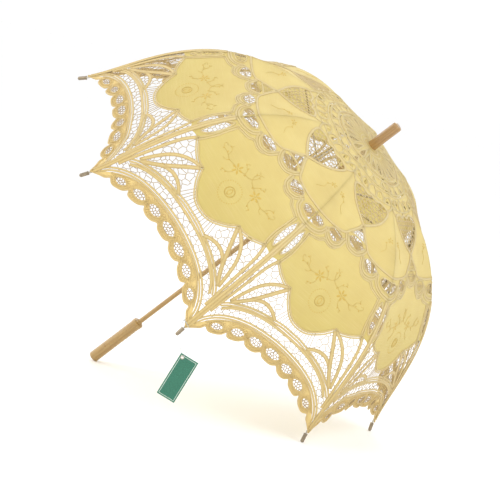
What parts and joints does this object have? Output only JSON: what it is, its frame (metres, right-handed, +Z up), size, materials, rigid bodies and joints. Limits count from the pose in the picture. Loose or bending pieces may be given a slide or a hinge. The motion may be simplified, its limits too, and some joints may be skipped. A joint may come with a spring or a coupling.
{
  "type": "lace parasol",
  "caption": "Open lace parasol with curved ribs, scalloped cloth canopy, runner and stretchers, wooden stick, handle and ferrule, lying on its rim and handle.",
  "frame": {"origin": "bottom centre of the open parasol's box as it rests on the handle's end and two neighbouring rib tips", "axes": "+Z up from the floor; the shaft lies in the XZ plane, its ferrule towards +X and up, its handle towards -X and down; Y runs across the canopy"},
  "size_m": [0.5932, 0.7021, 0.5589],
  "materials": {
    "pale_wood": "satin",
    "tan_wood": "gloss",
    "steel": "satin",
    "lace": "matte",
    "tag_card": "matte",
    "clear_filament": "gloss"
  },
  "bodies": {
    "stick": {"handle_grip": "pale_wood", "handle_collar": "pale_wood", "handle_peg": "tan_wood", "shaft": "pale_wood", "ferrule": "tan_wood", "crown_washer": "lace", "crown_rosette": "lace", "top_notch": "pale_wood", "notch_wire": "steel", "catch_pins": "steel"},
    "top_catch": {"top_catch": "steel"},
    "bottom_catch": {"bottom_catch": "steel"},
    "runner": {"runner": "pale_wood", "runner_wire": "steel"},
    "rib_1": {"rib_1": "steel", "tip_cap_1": "steel", "rib_clip_1": "steel", "canopy_panel_1": "lace"},
    "stretcher_1": {"stretcher_1": "steel"},
    "rib_2": {"rib_2": "steel", "tip_cap_2": "steel", "rib_clip_2": "steel", "canopy_panel_2": "lace"},
    "stretcher_2": {"stretcher_2": "steel"},
    "rib_3": {"rib_3": "steel", "tip_cap_3": "steel", "rib_clip_3": "steel", "canopy_panel_3": "lace"},
    "stretcher_3": {"stretcher_3": "steel"},
    "rib_4": {"rib_4": "steel", "tip_cap_4": "steel", "rib_clip_4": "steel", "canopy_panel_4": "lace"},
    "stretcher_4": {"stretcher_4": "steel"},
    "rib_5": {"rib_5": "steel", "tip_cap_5": "steel", "rib_clip_5": "steel", "canopy_panel_5": "lace"},
    "stretcher_5": {"stretcher_5": "steel"},
    "rib_6": {"rib_6": "steel", "tip_cap_6": "steel", "rib_clip_6": "steel", "canopy_panel_6": "lace"},
    "stretcher_6": {"stretcher_6": "steel"},
    "rib_7": {"rib_7": "steel", "tip_cap_7": "steel", "rib_clip_7": "steel", "canopy_panel_7": "lace", "hang_tag": "tag_card", "tag_eyelet": "steel", "tag_loop": "clear_filament", "loop_lock": "clear_filament"},
    "stretcher_7": {"stretcher_7": "steel"},
    "rib_8": {"rib_8": "steel", "tip_cap_8": "steel", "rib_clip_8": "steel", "canopy_panel_8": "lace"},
    "stretcher_8": {"stretcher_8": "steel"}
  },
  "joints": [
    {"name": "fold", "type": "hinge", "parent": "stick", "child": "rib_1", "pos_m": [0.17319, 0.00344, 0.45369], "axis": [-0.2883, 0.9239, 0.2516], "range_deg": [0, 44], "deforming": ["canopy_panel_1", "top_catch"]},
    {"name": "strut_1", "type": "hinge", "parent": "rib_1", "child": "stretcher_1", "pos_m": [0.27757, 0.07824, 0.29868], "axis": [-0.2883, 0.9239, 0.2516], "range_deg": [-88, 0]},
    {"name": "fold_2", "type": "hinge", "parent": "stick", "child": "rib_2", "pos_m": [0.16952, 0.00831, 0.45689], "axis": [-0.6961, 0.3827, 0.6074], "range_deg": [0, 44], "deforming": ["canopy_panel_2"]},
    {"name": "strut_2", "type": "hinge", "parent": "rib_2", "child": "stretcher_2", "pos_m": [0.1942, 0.18888, 0.37143], "axis": [-0.6961, 0.3827, 0.6074], "range_deg": [-88, 0]},
    {"name": "fold_3", "type": "hinge", "parent": "stick", "child": "rib_3", "pos_m": [0.16433, 0.00831, 0.46142], "axis": [-0.6961, -0.3827, 0.6074], "range_deg": [0, 44], "deforming": ["canopy_panel_3"]},
    {"name": "strut_3", "type": "hinge", "parent": "rib_3", "child": "stretcher_3", "pos_m": [0.07631, 0.18888, 0.47431], "axis": [-0.6961, -0.3827, 0.6074], "range_deg": [-88, 0]},
    {"name": "fold_4", "type": "hinge", "parent": "stick", "child": "rib_4", "pos_m": [0.16066, 0.00344, 0.46462], "axis": [-0.2883, -0.9239, 0.2516], "range_deg": [0, 44], "deforming": ["canopy_panel_4"]},
    {"name": "strut_4", "type": "hinge", "parent": "rib_4", "child": "stretcher_4", "pos_m": [-0.00706, 0.07824, 0.54706], "axis": [-0.2883, -0.9239, 0.2516], "range_deg": [-88, 0]},
    {"name": "fold_5", "type": "hinge", "parent": "stick", "child": "rib_5", "pos_m": [0.16066, -0.00344, 0.46462], "axis": [0.2883, -0.9239, -0.2516], "range_deg": [0, 44], "deforming": ["canopy_panel_5"]},
    {"name": "strut_5", "type": "hinge", "parent": "rib_5", "child": "stretcher_5", "pos_m": [-0.00706, -0.07824, 0.54706], "axis": [0.2883, -0.9239, -0.2516], "range_deg": [-88, 0]},
    {"name": "fold_6", "type": "hinge", "parent": "stick", "child": "rib_6", "pos_m": [0.16433, -0.00831, 0.46142], "axis": [0.6961, -0.3827, -0.6074], "range_deg": [0, 44], "deforming": ["canopy_panel_6"]},
    {"name": "strut_6", "type": "hinge", "parent": "rib_6", "child": "stretcher_6", "pos_m": [0.07631, -0.18888, 0.47431], "axis": [0.6961, -0.3827, -0.6074], "range_deg": [-88, 0]},
    {"name": "fold_7", "type": "hinge", "parent": "stick", "child": "rib_7", "pos_m": [0.16952, -0.00831, 0.45689], "axis": [0.6961, 0.3827, -0.6074], "range_deg": [0, 44], "deforming": ["canopy_panel_7"]},
    {"name": "strut_7", "type": "hinge", "parent": "rib_7", "child": "stretcher_7", "pos_m": [0.1942, -0.18888, 0.37143], "axis": [0.6961, 0.3827, -0.6074], "range_deg": [-88, 0]},
    {"name": "fold_8", "type": "hinge", "parent": "stick", "child": "rib_8", "pos_m": [0.17319, -0.00344, 0.45369], "axis": [0.2883, 0.9239, -0.2516], "range_deg": [0, 44], "deforming": ["canopy_panel_8"]},
    {"name": "strut_8", "type": "hinge", "parent": "rib_8", "child": "stretcher_8", "pos_m": [0.27757, -0.07824, 0.29868], "axis": [0.2883, 0.9239, -0.2516], "range_deg": [-88, 0]},
    {"name": "runner_hinge", "type": "hinge", "parent": "stretcher_1", "child": "runner", "pos_m": [0.10985, 0.00344, 0.38111], "axis": [-0.2883, 0.9239, 0.2516], "range_deg": [0, 44]},
    {"name": "top_catch_press", "type": "hinge", "parent": "stick", "child": "top_catch", "pos_m": [0.06728, 0, 0.34725], "axis": [0, 1, 0], "range_deg": [0, 5.5]},
    {"name": "bottom_catch_press", "type": "hinge", "parent": "stick", "child": "bottom_catch", "pos_m": [-0.05698, 0, 0.20485], "axis": [0, -1, 0], "range_deg": [0, 5.5]}
  ],
  "couplings": [
    {"joint": "strut_1", "follows": "fold", "ratio": -2},
    {"joint": "fold_2", "follows": "fold", "ratio": 1},
    {"joint": "strut_2", "follows": "fold", "ratio": -2},
    {"joint": "fold_3", "follows": "fold", "ratio": 1},
    {"joint": "strut_3", "follows": "fold", "ratio": -2},
    {"joint": "fold_4", "follows": "fold", "ratio": 1},
    {"joint": "strut_4", "follows": "fold", "ratio": -2},
    {"joint": "fold_5", "follows": "fold", "ratio": 1},
    {"joint": "strut_5", "follows": "fold", "ratio": -2},
    {"joint": "fold_6", "follows": "fold", "ratio": 1},
    {"joint": "strut_6", "follows": "fold", "ratio": -2},
    {"joint": "fold_7", "follows": "fold", "ratio": 1},
    {"joint": "strut_7", "follows": "fold", "ratio": -2},
    {"joint": "fold_8", "follows": "fold", "ratio": 1},
    {"joint": "strut_8", "follows": "fold", "ratio": -2},
    {"joint": "runner_hinge", "follows": "fold", "ratio": 1}
  ]
}
